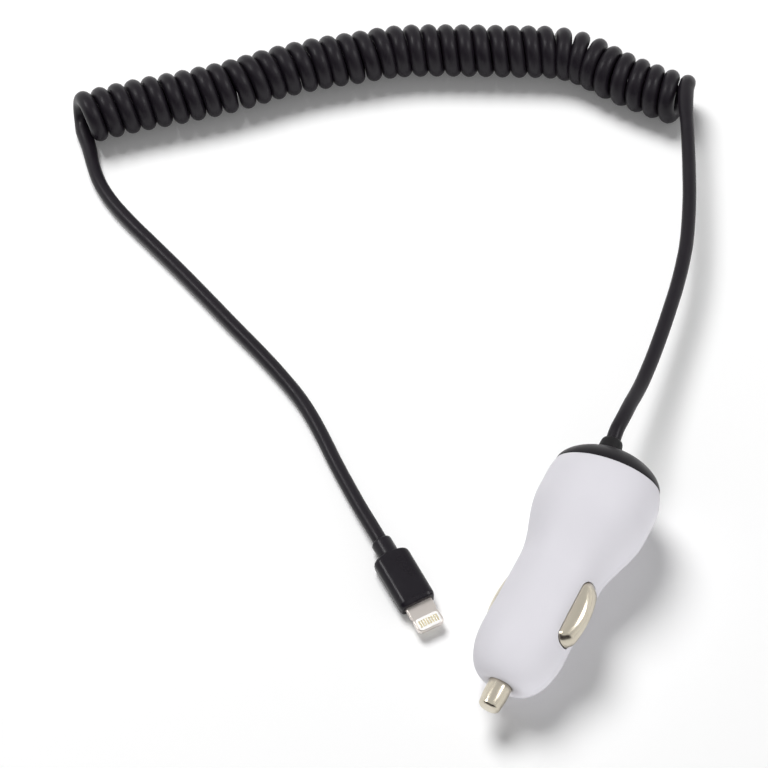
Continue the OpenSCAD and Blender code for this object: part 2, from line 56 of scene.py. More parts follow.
cameraSettings = {
    "azimuth": 28.0,  # degrees, 0 looks along +Y
    "elevation": 57.0,
    "target": (-63.2, 33.8, 0.0),  # mm, in the middle of the picture
    "distance": 590.0,  # mm
    "sensor": 36.0,
    "lens": 112.78,
    "clip": (0.01, 20.0),  # m
}


def makeCamera(settings):
    azimuth = math.radians(settings["azimuth"])
    elevation = math.radians(settings["elevation"])
    back = Vector((
        math.sin(azimuth) * math.cos(elevation),
        -math.cos(azimuth) * math.cos(elevation),
        math.sin(elevation),
    ))
    data = bpy.data.cameras.new("camera")
    data.sensor_width = settings["sensor"]
    data.lens = settings["lens"]
    data.clip_start, data.clip_end = settings["clip"]
    camera = bpy.data.objects.new("camera", data)
    bpy.context.scene.collection.objects.link(camera)
    camera.location = (Vector(settings["target"]) + back * settings["distance"]) * mm
    camera.rotation_mode = "QUATERNION"
    camera.rotation_quaternion = (-back).to_track_quat("-Z", "Y")
    bpy.context.scene.camera = camera


makeCamera(cameraSettings)
bpy.context.scene.view_settings.view_transform = "Standard"
print("camera ready")


# the lead: one line from the collar through the curly part to the connector

leadSettings = {
    "diameter": 3.5,  # mm
    "curlDiameter": 13.9,  # mm, outside
    "turns": 37.5,
    "turnSwell": 1.21,  # the lead is thicker in the coil than in its straight parts
    "swellRun": 9,  # mm of straight lead over which that fades
    "unevenness": 0.0005,  # share of the coil's length
    "waves": [(9.3, 1.0, 0.0), (17.1, 0.7, 1.0)],  # number along the coil, strength, phase
    "pointsPerTurn": 30,
    "curlStep": 0.5,  # mm between the points of the coil's middle line
    "looseStep": 1.0,  # and of the straight parts
    "tubeSides": 7,  # Blender's bevel resolution
    "exitStretch": [  # mm, as in the part's source
        (-3.43, 35.29, 17.54), (-3.77, 37.9, 18), (-3.95, 42.15, 17.5), (-4.3, 46.5, 16.3),
        (-4.6, 51.5, 14.6), (-5, 56.4, 13.4), (-5.9, 64, 12.4), (-7, 71.6, 11.9),
        (-8.2, 79, 11.7), (-9.6, 86.7, 11.6), (-11.3, 94, 11.6), (-13.4, 101.1, 11.7),
        (-17.6, 111.8, 12), (-22.2, 121.8, 12.2), (-27.1, 131.8, 12.5), (-29.8, 137, 12.5),
        (-31.8, 141.2, 12.3),
    ],
    "curlRoute": [
        (-33.2, 144.6), (-43, 144), (-53, 144.2), (-62, 145.2), (-70, 143.8), (-80, 139),
        (-90, 134), (-100, 128.8), (-108, 124), (-116, 117.4), (-124, 110.8), (-132, 103),
        (-140, 93.8), (-149, 85), (-159, 76), (-169.3, 65.6),
    ],
    "floorStretch": [
        (-166.9, 63.3, 1.75), (-164.4, 60.8, 1.75), (-160.8, 56.8, 1.75),
        (-156, 52.6, 1.75), (-150, 49, 1.75), (-143, 45.9, 1.75), (-134, 42.5, 1.75),
        (-124, 38.7, 1.75), (-114, 34.7, 1.75), (-104, 30.6, 1.75), (-94, 26.6, 1.75),
        (-86, 23.1, 1.75), (-79, 19.6, 1.75), (-73.5, 16.1, 1.75), (-68, 12, 1.75),
        (-63, 8, 1.75), (-57, 3.5, 1.8), (-51, -0.9, 2.1), (-46.7, -3.9, 2.5),
        (-44.6, -5.35, 2.6), (-42.65, -6.7, 2.6),
    ],
}


def smoothLine(points, step):
    points = np.array(points, float)
    out = []
    last = len(points) - 1
    for i in range(last):
        a, b, c, d = points[max(i - 1, 0)], points[i], points[i + 1], points[min(i + 2, last)]
        count = max(2, int(np.linalg.norm(c - b) / step))
        for k in range(count):
            u = k / count
            out.append(0.5 * (2 * b + (c - a) * u + (2 * a - 5 * b + 4 * c - d) * u ** 2
                              + (3 * b - a - 3 * c + d) * u ** 3))
    out.append(points[-1])
    return np.array(out)


def curlPoints(settings):
    line = smoothLine(settings["curlRoute"], settings["curlStep"])
    along = np.concatenate([[0], np.cumsum(np.linalg.norm(np.diff(line, axis=0), axis=1))])
    turns = settings["turns"]
    radius = (settings["curlDiameter"] - settings["diameter"] * settings["turnSwell"]) / 2
    height = settings["curlDiameter"] / 2
    share = np.linspace(0, 1, int(turns * settings["pointsPerTurn"]) + 1)
    # the turns don't lie quite evenly
    uneven = sum(strength * np.sin(share * 2 * math.pi * count + phase)
                 for count, strength, phase in settings["waves"])
    uneven *= settings["unevenness"] * np.sin(share * math.pi) ** 0.5
    place = (share + uneven) * along[-1]
    centre = np.stack([np.interp(place, along, line[:, k]) for k in range(2)], 1)
    heading = np.gradient(centre, axis=0)
    heading /= np.linalg.norm(heading, axis=1)[:, None]
    away = np.stack([heading[:, 1], -heading[:, 0]], 1)
    angle = math.pi / 2 - share * turns * 2 * math.pi
    flat = centre + away * (radius * np.cos(angle))[:, None]
    return np.column_stack([flat, height + radius * np.sin(angle)])


def leadPoints(settings):
    curl = curlPoints(settings)
    step = settings["looseStep"]
    start = smoothLine(settings["exitStretch"] + [tuple(curl[0]), tuple(curl[1])], step)
    end = smoothLine([tuple(curl[-2]), tuple(curl[-1])] + settings["floorStretch"], step)
    start = start[:np.argmin(np.linalg.norm(start - curl[0], axis=1))]
    end = end[np.argmin(np.linalg.norm(end - curl[-1], axis=1)) + 1:]
    extra = settings["turnSwell"] - 1
    swell = np.concatenate([
        1 + extra * np.clip(1 - np.arange(len(start))[::-1] / settings["swellRun"], 0, 1),
        np.full(len(curl), 1 + extra),
        1 + extra * np.clip(1 - np.arange(len(end)) / settings["swellRun"], 0, 1),
    ])
    return np.concatenate([start, curl, end]) * mm, swell


def makeLead(settings):
    points, swell = leadPoints(settings)
    data = bpy.data.curves.new("lead", "CURVE")
    data.dimensions = "3D"
    data.bevel_depth = settings["diameter"] / 2  # in mm, and the points' radii bring it to metres
    data.bevel_resolution = settings["tubeSides"]
    data.use_fill_caps = True
    spline = data.splines.new("POLY")
    spline.points.add(len(points) - 1)
    for point, place, radius in zip(spline.points, points, swell):
        point.co = (*place, 1.0)
        point.radius = radius * mm
    spline.use_smooth = True
    lead = bpy.data.objects.new("lead", data)
    bpy.context.scene.collection.objects.link(lead)
    length = float(np.linalg.norm(np.diff(points, axis=0), axis=1).sum())
    print("lead length", round(length, 3), "m,", len(points), "points")
    return lead, points, length


lead, leadLine, leadLength = makeLead(leadSettings)
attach(lead, "charger")
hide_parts("lead_charger_side", "lead_curl", "lead_connector_side")


# where the charger and the connector lie

placeSettings = {
    "tipEnd": (0.0, -36.0, 8.5955),  # mm, the end of the tip contact
    "tilt": 5.5733,  # degrees, the charger rests on its nose and its head
    "roll": 29.0,
    "tipReach": 6.2,  # from the end of the tip to the nose face
    "contactsAt": 20.9,  # from the nose face to the middle of the side contacts
    "headAt": 51.3,  # and to the middle of the head
    "capTurn": -31.0,  # which way the cap leans, and how far
    "capLean": 8.5,
    "seamAt": 5.2,  # from the middle of the head to the cap's seam
    "plugAt": (-38.7, -9.4, 2.6),  # where the boot's neck meets its body
    "plugTurn": -34.5,
}


def turned(degrees, axis):
    return Matrix.Rotation(math.radians(degrees), 4, axis)


toMetres = Matrix.Scale(mm, 4)
chargerFrame = (toMetres @ Matrix.Translation(placeSettings["tipEnd"])
                @ turned(placeSettings["tilt"] - 90, "X") @ turned(-placeSettings["roll"], "Z")
                @ Matrix.Translation((0, 0, placeSettings["tipReach"])))
capSeat = (Matrix.Translation((0, 0, placeSettings["headAt"])) @ turned(placeSettings["capTurn"], "Z")
           @ turned(placeSettings["capLean"], "X"))
capFrame = chargerFrame @ capSeat
plugFrame = toMetres @ Matrix.Translation(placeSettings["plugAt"]) @ turned(placeSettings["plugTurn"], "Z")


# helpers for the pieces, which are shaped in mm and then brought to their place in metres


def spinProfile(bm, line, steps, centre=(0, 0, 0), closed=False):
    verts = [bm.verts.new((r + centre[0], centre[1], z + centre[2])) for r, z in line]
    edges = [bm.edges.new(pair) for pair in zip(verts, verts[1:])]
    if closed:
        edges.append(bm.edges.new((verts[-1], verts[0])))
    bmesh.ops.spin(bm, geom=verts + edges, cent=centre, axis=(0, 0, 1), angle=2 * math.pi,
                   steps=steps, use_merge=True)
    bmesh.ops.remove_doubles(bm, verts=bm.verts[:], dist=1e-5)


def markCreases(bm, degrees):
    for edge in bm.edges:
        edge.smooth = edge.calc_face_angle(0.0) < math.radians(degrees)


def finishMesh(bm, name, place, material, creaseAngle=35.0):
    bmesh.ops.remove_doubles(bm, verts=bm.verts[:], dist=1e-5)
    bmesh.ops.recalc_face_normals(bm, faces=bm.faces[:])
    bmesh.ops.transform(bm, matrix=place, verts=bm.verts[:])
    for face in bm.faces:
        face.smooth = True
    markCreases(bm, creaseAngle)
    data = bpy.data.meshes.new(name)
    bm.to_mesh(data)
    bm.free()
    data.materials.append(material)
    piece = bpy.data.objects.new(name, data)
    bpy.context.scene.collection.objects.link(piece)
    return piece


def cutOut(piece, cutter, creaseAngle=35.0):
    modifier = piece.modifiers.new("cut", "BOOLEAN")
    modifier.operation = "DIFFERENCE"
    modifier.solver = "EXACT"
    modifier.object = cutter
    bpy.context.view_layer.update()
    shaped = piece.evaluated_get(bpy.context.evaluated_depsgraph_get())
    data = bpy.data.meshes.new_from_object(shaped)
    piece.modifiers.clear()
    piece.data = data
    bpy.data.objects.remove(cutter)
    bm = bmesh.new()
    bm.from_mesh(data)
    markCreases(bm, creaseAngle)
    bm.to_mesh(data)
    bm.free()


def ease(a, b, u):
    return a + (b - a) * (1 - math.cos(math.pi * u)) / 2


def shares(count):
    return [k / count for k in range(count + 1)]


def vertsOf(geometry):
    return [item for item in geometry if isinstance(item, bmesh.types.BMVert)]


def edgesOf(geometry):
    return [item for item in geometry if isinstance(item, bmesh.types.BMEdge)]


# finishes

grainSettings = {
    "broadRatio": 0.06,  # scale of the broad pattern as a share of the fine one's
    "fineDetail": 3.0,
    "broadDetail": 2.0,
    "low": 0.3,  # the noise values that stand for the ends of a finish's roughness range
    "high": 0.7,
}


def addSocket(tree, name, kind, way, value=None):
    socket = tree.interface.new_socket(name, in_out=way, socket_type=kind)
    if value is not None:
        socket.default_value = value


def makeGrainGroup(settings):
    tree = bpy.data.node_groups.new("surfaceGrain", "ShaderNodeTree")
    addSocket(tree, "Scale", "NodeSocketFloat", "INPUT", 3000.0)
    addSocket(tree, "Stretch", "NodeSocketVector", "INPUT", (1.0, 1.0, 1.0))
    addSocket(tree, "Turn", "NodeSocketVector", "INPUT", (0.0, 0.0, 0.0))
    addSocket(tree, "Fine", "NodeSocketFloat", "OUTPUT")
    addSocket(tree, "Broad", "NodeSocketFloat", "OUTPUT")
    source = tree.nodes.new("NodeGroupInput")
    result = tree.nodes.new("NodeGroupOutput")
    place = tree.nodes.new("ShaderNodeTexCoord")
    turn = tree.nodes.new("ShaderNodeMapping")
    stretch = tree.nodes.new("ShaderNodeVectorMath")
    stretch.operation = "MULTIPLY"
    tree.links.new(place.outputs["Object"], turn.inputs["Vector"])
    tree.links.new(source.outputs["Turn"], turn.inputs["Rotation"])
    tree.links.new(turn.outputs["Vector"], stretch.inputs[0])
    tree.links.new(source.outputs["Stretch"], stretch.inputs[1])
    fine = tree.nodes.new("ShaderNodeTexNoise")
    fine.inputs["Detail"].default_value = settings["fineDetail"]
    tree.links.new(stretch.outputs["Vector"], fine.inputs["Vector"])
    tree.links.new(source.outputs["Scale"], fine.inputs["Scale"])
    ratio = tree.nodes.new("ShaderNodeMath")
    ratio.operation = "MULTIPLY"
    ratio.inputs[1].default_value = settings["broadRatio"]
    tree.links.new(source.outputs["Scale"], ratio.inputs[0])
    broad = tree.nodes.new("ShaderNodeTexNoise")
    broad.inputs["Detail"].default_value = settings["broadDetail"]
    tree.links.new(turn.outputs["Vector"], broad.inputs["Vector"])
    tree.links.new(ratio.outputs[0], broad.inputs["Scale"])
    tree.links.new(fine.outputs["Fac"], result.inputs["Fine"])
    tree.links.new(broad.outputs["Fac"], result.inputs["Broad"])
    return tree


grainGroup = makeGrainGroup(grainSettings)
# these turn a brushed pattern to lie along the barrel and along the connector
alongBarrel = (math.radians(-placeSettings["tilt"]), 0.0, 0.0)
alongPlug = (0.0, 0.0, math.radians(-placeSettings["plugTurn"]))

# colour and second colour, roughness range, grain scale in cycles a metre and bump depth in mm
finishSettings = {
    "housing_white": {
        "colour": (0.562, 0.552, 0.584), "shade": (0.548, 0.537, 0.573), "roughness": (0.46, 0.54),
        "scale": 2600, "depth": 0.008, "specular": 0.25,
    },
    "cap_black": {
        "colour": (0.006, 0.005, 0.0068), "shade": (0.009, 0.008, 0.0098), "roughness": (0.36, 0.46),
        "scale": 3000, "depth": 0.006, "specular": 0.18,
    },
    "collar_black": {
        "colour": (0.006, 0.0055, 0.0062), "shade": (0.01, 0.0094, 0.0102), "roughness": (0.45, 0.6),
        "scale": 3600, "depth": 0.01, "specular": 0.2,
    },
    "lead_black": {
        "colour": (0.0062, 0.0046, 0.0072), "shade": (0.0094, 0.0076, 0.0104), "roughness": (0.33, 0.42),
        "scale": 4200, "depth": 0.008, "specular": 0.22,
    },
    "boot_black": {
        "colour": (0.0046, 0.0034, 0.0056), "shade": (0.0088, 0.0072, 0.0104), "roughness": (0.26, 0.32),
        "scale": 3600, "depth": 0.006, "specular": 0.22,
    },
    "contact_nickel": {
        "colour": (0.67, 0.618, 0.515), "shade": (0.61, 0.555, 0.45), "roughness": (0.2, 0.27),
        "scale": 5200, "depth": 0.0005, "metallic": 1.0, "stretch": (1.0, 0.06, 1.0), "turn": alongBarrel,
    },
    "tab_nickel": {
        "colour": (0.8, 0.745, 0.7), "shade": (0.75, 0.695, 0.65), "roughness": (0.28, 0.42),
        "scale": 6000, "depth": 0.006, "metallic": 1.0, "stretch": (0.08, 1.0, 1.0), "turn": alongPlug,
    },
    "contact_gold": {
        "colour": (0.93, 0.84, 0.58), "shade": (0.86, 0.76, 0.48), "roughness": (0.25, 0.4),
        "scale": 7000, "depth": 0.004, "metallic": 1.0, "stretch": (0.1, 1.0, 1.0), "turn": alongPlug,
    },
    "insert_white": {
        "colour": (0.82, 0.81, 0.79), "shade": (0.76, 0.75, 0.73), "roughness": (0.4, 0.55),
        "scale": 5000, "depth": 0.008, "specular": 0.35,
    },
    "spring_steel": {
        "colour": (0.58, 0.57, 0.56), "shade": (0.45, 0.44, 0.43), "roughness": (0.22, 0.36),
        "scale": 5000, "depth": 0.006, "metallic": 1.0, "stretch": (1.0, 0.1, 1.0), "turn": alongBarrel,
    },
    "terminal_brass": {
        "colour": (0.75, 0.56, 0.24), "shade": (0.6, 0.43, 0.17), "roughness": (0.25, 0.42),
        "scale": 4500, "depth": 0.006, "metallic": 1.0, "stretch": (1.0, 0.15, 1.0), "turn": alongBarrel,
    },
    "board_green": {
        "colour": (0.015, 0.11, 0.045), "shade": (0.01, 0.075, 0.03), "roughness": (0.35, 0.5),
        "scale": 2500, "depth": 0.02, "specular": 0.5,
    },
    "chip_black": {
        "colour": (0.02, 0.02, 0.021), "shade": (0.035, 0.035, 0.036), "roughness": (0.55, 0.75),
        "scale": 5200, "depth": 0.02, "specular": 0.3,
    },
    "ferrite_grey": {
        "colour": (0.07, 0.068, 0.07), "shade": (0.11, 0.105, 0.105), "roughness": (0.55, 0.8),
        "scale": 3800, "depth": 0.03, "specular": 0.3,
    },
    "winding_copper": {
        "colour": (0.55, 0.2, 0.07), "shade": (0.42, 0.13, 0.04), "roughness": (0.2, 0.35),
        "scale": 3000, "depth": 0.05, "metallic": 1.0, "stretch": (0.1, 1.0, 0.1), "turn": alongBarrel,
    },
    "can_blue": {
        "colour": (0.02, 0.025, 0.08), "shade": (0.03, 0.037, 0.11), "roughness": (0.25, 0.4),
        "scale": 2200, "depth": 0.01, "specular": 0.5,
    },
    "fuse_tan": {
        "colour": (0.47, 0.34, 0.2), "shade": (0.38, 0.27, 0.15), "roughness": (0.5, 0.7),
        "scale": 4200, "depth": 0.02, "specular": 0.3,
    },
    "core_red": {
        "colour": (0.4, 0.015, 0.015), "shade": (0.3, 0.01, 0.01), "roughness": (0.4, 0.55),
        "scale": 3800, "depth": 0.01, "specular": 0.4,
    },
    "core_black": {
        "colour": (0.014, 0.014, 0.014), "shade": (0.024, 0.024, 0.024), "roughness": (0.4, 0.55),
        "scale": 3800, "depth": 0.01, "specular": 0.4,
    },
}


def makeFinish(name, settings):
    material = bpy.data.materials.new(name)
    material.use_nodes = True
    tree = material.node_tree
    shader = tree.nodes["Principled BSDF"]
    shader.inputs["Metallic"].default_value = settings.get("metallic", 0.0)
    shader.inputs["Specular IOR Level"].default_value = settings.get("specular", 0.5)
    grain = tree.nodes.new("ShaderNodeGroup")
    grain.node_tree = grainGroup
    grain.inputs["Scale"].default_value = settings["scale"]
    grain.inputs["Stretch"].default_value = settings.get("stretch", (1.0, 1.0, 1.0))
    grain.inputs["Turn"].default_value = settings.get("turn", (0.0, 0.0, 0.0))
    tint = tree.nodes.new("ShaderNodeMix")
    tint.data_type = "RGBA"
    tint.inputs[6].default_value = (*settings["colour"], 1.0)
    tint.inputs[7].default_value = (*settings["shade"], 1.0)
    tree.links.new(grain.outputs["Broad"], tint.inputs[0])
    tree.links.new(tint.outputs[2], shader.inputs["Base Color"])
    polish = tree.nodes.new("ShaderNodeMapRange")
    polish.inputs["From Min"].default_value = grainSettings["low"]
    polish.inputs["From Max"].default_value = grainSettings["high"]
    polish.inputs["To Min"].default_value = settings["roughness"][0]
    polish.inputs["To Max"].default_value = settings["roughness"][1]
    tree.links.new(grain.outputs["Broad"], polish.inputs["Value"])
    tree.links.new(polish.outputs["Result"], shader.inputs["Roughness"])
    bump = tree.nodes.new("ShaderNodeBump")
    bump.inputs["Strength"].default_value = 1.0
    bump.inputs["Distance"].default_value = settings["depth"] * mm
    tree.links.new(grain.outputs["Fine"], bump.inputs["Height"])
    tree.links.new(bump.outputs["Normal"], shader.inputs["Normal"])
    return material


finishes = {name: makeFinish(name, settings) for name, settings in finishSettings.items()}
for part in frame["record"]["subparts"]:
    for slot in nodes[part["node"]].material_slots:
        slot.material = finishes[part["material_slot"]]
lead.data.materials.append(finishes["lead_black"])
print("finishes ready")


# housing: one spun shell, cut off at the slanted seam, with a slot on each side

housingSettings = {
    # mm, heights are from the nose face
    "barrelRadius": 10.25,
    "waistRadius": 10.05,
    "headRadius": 13.75,
    "headArc": 48.0,  # degrees of the head's ball, cut short by the seam
    "noseLength": 11.3,
    "noseFaceRadius": 4.4,
    "noseWall": 2.2,
    "wall": 1.8,
    "hollowFrom": 2.5,  # where the inside starts to follow the outside
    "hollowChamfer": 0.5,  # in the corner between there and the nose wall
    "narrowing": 9.0,  # length over which the barrel narrows to the waist
    "waistRings": (22.5, 25.0, 27.2),  # straight stretch between the narrowing and the flare
    "flareAt": 38.2,
    "flareLength": 17.5,
    "boreRadius": 2.85,
    "boreEdge": 0.3,
    "boreLip": [(0.08, 0.105), (0.24, 0.03)],  # out from the bore, up from the nose face
    "slotLength": 16.6,
    "slotWidth": 5.8,
    "slotCorner": 2.4,
    "slotFloor": 6.05,  # from the axis, well inside the wall
    "cutterDepth": 8.0,
    "steps": 192,
}


def housingLine(settings, inward):
    nose, barrel = settings["noseFaceRadius"], settings["barrelRadius"]
    waist, head, length = settings["waistRadius"], settings["headRadius"], settings["noseLength"]
    headAt = placeSettings["headAt"]
    line = [(nose + (barrel - nose) * math.sin(u * math.pi / 2), length * (1 - math.cos(u * math.pi / 2)))
            for u in shares(30)]
    line += [(ease(barrel, waist, u), length + settings["narrowing"] * u) for u in shares(8)[1:]]
    line += [(waist, z) for z in settings["waistRings"]]
    start = settings["flareAt"] - settings["flareLength"] / 2
    line += [(ease(waist, head, u), start + settings["flareLength"] * u) for u in shares(32)]
    line = [(r - inward, z) for r, z in line if not inward or z > settings["hollowFrom"]]
    r, arc = head - inward, math.radians(settings["headArc"])
    line += [(r * math.cos(arc * u), headAt + r * math.sin(arc * u)) for u in shares(28)]
    return line


def makeSlotCutter(settings, side):
    bm = bmesh.new()
    depth = settings["cutterDepth"]
    bmesh.ops.create_cube(bm, size=1.0)
    bmesh.ops.scale(bm, vec=(depth, settings["slotWidth"], settings["slotLength"]), verts=bm.verts[:])
    outward = [e for e in bm.edges if abs(e.verts[0].co.x - e.verts[1].co.x) > depth / 2]
    bmesh.ops.bevel(bm, geom=outward, offset=settings["slotCorner"], segments=12, profile=0.5,
                    affect="EDGES", material=-1)
    bmesh.ops.translate(bm, vec=(settings["slotFloor"] + depth / 2, 0, placeSettings["contactsAt"]),
                        verts=bm.verts[:])
    return finishMesh(bm, "slotCutter", chargerFrame @ turned(side, "Z"), finishes["housing_white"])


def makeHousing(settings):
    outer = housingLine(settings, 0.0)
    inner = housingLine(settings, settings["wall"])
    bore, edge, wall = settings["boreRadius"], settings["boreEdge"], settings["noseWall"]
    line = [(bore, wall), (bore, edge)] + [(bore + out, up) for out, up in settings["boreLip"]]
    line += [(bore + edge, 0.0)] + outer + inner[::-1] + [(inner[0][0] - settings["hollowChamfer"], wall)]
    bm = bmesh.new()
    spinProfile(bm, line, settings["steps"], closed=True)
    bmesh.ops.recalc_face_normals(bm, faces=bm.faces[:])
    point = capSeat @ Vector((0, 0, placeSettings["seamAt"]))
    normal = capSeat.to_3x3() @ Vector((0, 0, 1))
    cut = bmesh.ops.bisect_plane(bm, geom=bm.verts[:] + bm.edges[:] + bm.faces[:], plane_co=point,
                                 plane_no=normal, dist=1e-5, clear_outer=True)
    bmesh.ops.bridge_loops(bm, edges=edgesOf(cut["geom_cut"]))
    housing = finishMesh(bm, "housing", chargerFrame, finishes["housing_white"])
    for side in (0, 180):
        cutOut(housing, makeSlotCutter(settings, side))
    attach(housing, "charger")
    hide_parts("barrel_shell")


makeHousing(housingSettings)
print("housing ready")


# end cap: a flattened dome over the slanted seam, with a boss for the lead

capSettings = {
    "seamRadius": 12.729,  # mm, where the leaning seam cuts the head
    "rise": 6.7,
    "power": 1.75,  # 2 would be half an ellipse, less is more pointed
    "wall": 1.6,
    "edge": 0.14,
    "spigotRadius": 10.659,
    "spigotLength": 3.6,
    "spigotWall": 1.2,
    "underGap": 0.05,  # the dome's under side ends this far inside the spigot
    "exitOffset": 1.8,  # the lead leaves a little off the cap's middle
    "exitFace": 11.95,
    "bossRadius": 2.9,
    # steps out from the boss's radius and down from its face
    "bossFoot": [(0.9, -1.5), (0.35, -0.75), (0.12, -0.35), (0, -0.12), (-0.12, 0)],
    "steps": 160,
    "bossSteps": 64,
}


def domeRadius(base, rise, s, power):
    return base * max(1 - (s / rise) ** power, 0.0) ** (1 / power)


def makeCap(settings):
    seam, base = placeSettings["seamAt"], settings["seamRadius"]
    rise, power, wall, edge = (settings[key] for key in ("rise", "power", "wall", "edge"))
    spigot, inside = settings["spigotRadius"], settings["spigotRadius"] - settings["spigotWall"]
    line = [(inside, seam - settings["spigotLength"]), (spigot, seam - settings["spigotLength"]),
            (spigot, seam), (base - edge, seam), (base - edge * 0.3, seam + edge * 0.3)]
    line += [(domeRadius(base, rise, s, power), seam + s)
             for s in (rise * math.sin(u * math.pi / 2) for u in shares(40)) if s > edge]
    bm = bmesh.new()
    under = [(domeRadius(base - wall, rise - wall, s, power), seam + s)
             for s in ((rise - wall) * math.sin(u * math.pi / 2) for u in shares(24))]
    under = [(r, z) for r, z in under if r < inside - settings["underGap"]]
    spinProfile(bm, line, settings["steps"])
    spinProfile(bm, [line[0]] + under, settings["steps"])
    bmesh.ops.recalc_face_normals(bm, faces=bm.faces[:])
    boss, face = settings["bossRadius"], settings["exitFace"]
    bossLine = [(boss + out, face + up) for out, up in settings["bossFoot"]] + [(0.0, face)]
    spinProfile(bm, bossLine, settings["bossSteps"], centre=(0, -settings["exitOffset"], 0))
    cap = finishMesh(bm, "endCap", capFrame, finishes["cap_black"])
    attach(cap, "charger")
    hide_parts("end_cap")


makeCap(capSettings)
print("end cap ready")


# soft collar where the lead leaves the cap

collarSettings = {
    # mm, radius and height over the cap's exit face
    "line": [
        (0.0, -0.9), (3.1, -0.9), (2.98, -0.45), (2.88, -0.1), (2.82, 0.3), (2.72, 1.0), (2.62, 1.6),
        (2.52, 1.95), (2.36, 2.27), (2.12, 2.52), (1.9, 2.65), (1.7, 2.7), (0.0, 2.7),
    ],
    "steps": 96,
}


def makeCollar(settings):
    bm = bmesh.new()
    spinProfile(bm, settings["line"], settings["steps"])
    place = capFrame @ Matrix.Translation((0, -capSettings["exitOffset"], capSettings["exitFace"]))
    collar = finishMesh(bm, "leadCollar", place, finishes["collar_black"])
    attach(collar, "charger")
    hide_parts("strain_relief")


makeCollar(collarSettings)


# tip contact: a tapered turned pin with a bevelled end and a flange inside the nose

tipSettings = {
    # mm, radius and height over the nose face
    "line": [
        (0.0, -6.2), (1.95, -6.2), (2.06, -6.18), (2.15, -6.12), (2.4, -5.86), (2.47, -5.76), (2.52, -5.6),
        (2.55, -5.3), (2.8, -3.2), (2.8, 2.2), (4.0, 2.2), (4.0, 3.4), (1.9, 3.4), (1.9, 5.4), (0.0, 5.4),
    ],
    "steps": 96,
}


def makeTip(settings):
    bm = bmesh.new()
    spinProfile(bm, settings["line"], settings["steps"])
    tip = finishMesh(bm, "tipPin", chargerFrame, finishes["contact_nickel"], creaseAngle=50.0)
    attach(tip, "tip")
    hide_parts("tip_contact")


makeTip(tipSettings)


# side contacts: drawn bars with a bowed crest, round ends and a flange behind the slot

sideSettings = {
    # mm, heights are from the charger's axis
    "length": 16.4,
    "width": 5.6,
    "crest": 13.05,
    "bow": 17.0,  # radius of the bow along the contact
    "peak": 0.8,  # how far the highest place is from the middle, towards the nose
    "noseEnd": 2.4,  # how much of the length each end rounds off over
    "headEnd": 2.5,
    "wallTop": 9.6,
    "fullness": 0.85,  # 1 is a round section, less is a fuller one
    "flangeTop": 7.4,
    "flangeUnder": 6.9,
    "rim": 0.8,
    "rings": 84,
    "ringPoints": 36,
}


def makeSideContact(name, side, body, node, settings):
    half, h = settings["length"] / 2, settings["width"] / 2
    bm = bmesh.new()
    bmesh.ops.create_grid(bm, x_segments=settings["rings"], y_segments=settings["ringPoints"], size=1.0)
    for vert in bm.verts:
        s = half * math.sin(vert.co.x * math.pi / 2)
        turn = vert.co.y * math.pi / 2
        end = settings["noseEnd"] if s < 0 else settings["headEnd"]
        past = max(abs(s) - (half - end), 0.0) / end
        wide = h * math.sqrt(max(1 - past * past, 0.0))
        crest = settings["crest"] - (s + settings["peak"]) ** 2 / (2 * settings["bow"])
        rise = (crest - settings["wallTop"]) * wide / h * math.cos(turn) ** settings["fullness"]
        vert.co = (settings["wallTop"] + rise, wide * math.sin(turn), s)
    bmesh.ops.remove_doubles(bm, verts=bm.verts[:], dist=1e-4)

    def nextRing(x, push):
        ring = [e for e in bm.edges if e.is_boundary]
        made = bmesh.ops.extrude_edge_only(bm, edges=ring)["geom"]
        for vert in vertsOf(made):
            middle = max(min(vert.co.z, half - h), h - half)
            out = Vector((0, vert.co.y, vert.co.z - middle)).normalized() * push
            vert.co = Vector((x, vert.co.y, vert.co.z)) + out

    nextRing(settings["flangeTop"], 0.0)
    nextRing(settings["flangeTop"], settings["rim"])
    nextRing(settings["flangeUnder"], 0.0)
    bmesh.ops.holes_fill(bm, edges=[e for e in bm.edges if e.is_boundary], sides=0)
    bmesh.ops.translate(bm, vec=(0, 0, placeSettings["contactsAt"]), verts=bm.verts[:])
    place = chargerFrame @ turned(side, "Z")
    contact = finishMesh(bm, name, place, finishes["contact_nickel"], creaseAngle=50.0)
    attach(contact, body)
    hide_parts(node)


makeSideContact("sideBarRight", 0, "side_right", "ground_contact_right", sideSettings)
makeSideContact("sideBarLeft", 180, "side_left", "ground_contact_left", sideSettings)
print("contacts ready")


# the springs behind the contacts, which give way with them in the real charger; here they are copies of the
# part's meshes that keep their shape and stay with the charger

springSettings = {
    # the joint's travel in mm, and its way in the charger's own axes
    "tipCoilSpring": {
        "node": "tip_spring", "joint": "tip_slide", "travel": 3.0, "way": (0, 0, 1),
    },
    "sideLeafRight": {
        "node": "ground_leaf_right", "joint": "side_right_slide", "travel": 2.5, "way": (-1, 0, 0),
    },
    "sideLeafLeft": {
        "node": "ground_leaf_left", "joint": "side_left_slide", "travel": 2.5, "way": (1, 0, 0),
    },
}


def makeSpring(name, settings):
    node, joint = settings["node"], settings["joint"]
    bm = bmesh.new()
    bm.from_mesh(nodes[node].data)
    spring = finishMesh(bm, name, Matrix.Identity(4), finishes["spring_steel"])
    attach(spring, "charger")
    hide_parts(node)
    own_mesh(spring)


for name, settings in springSettings.items():
    makeSpring(name, settings)


# connector boot: a round neck that opens into a flat body with round edges

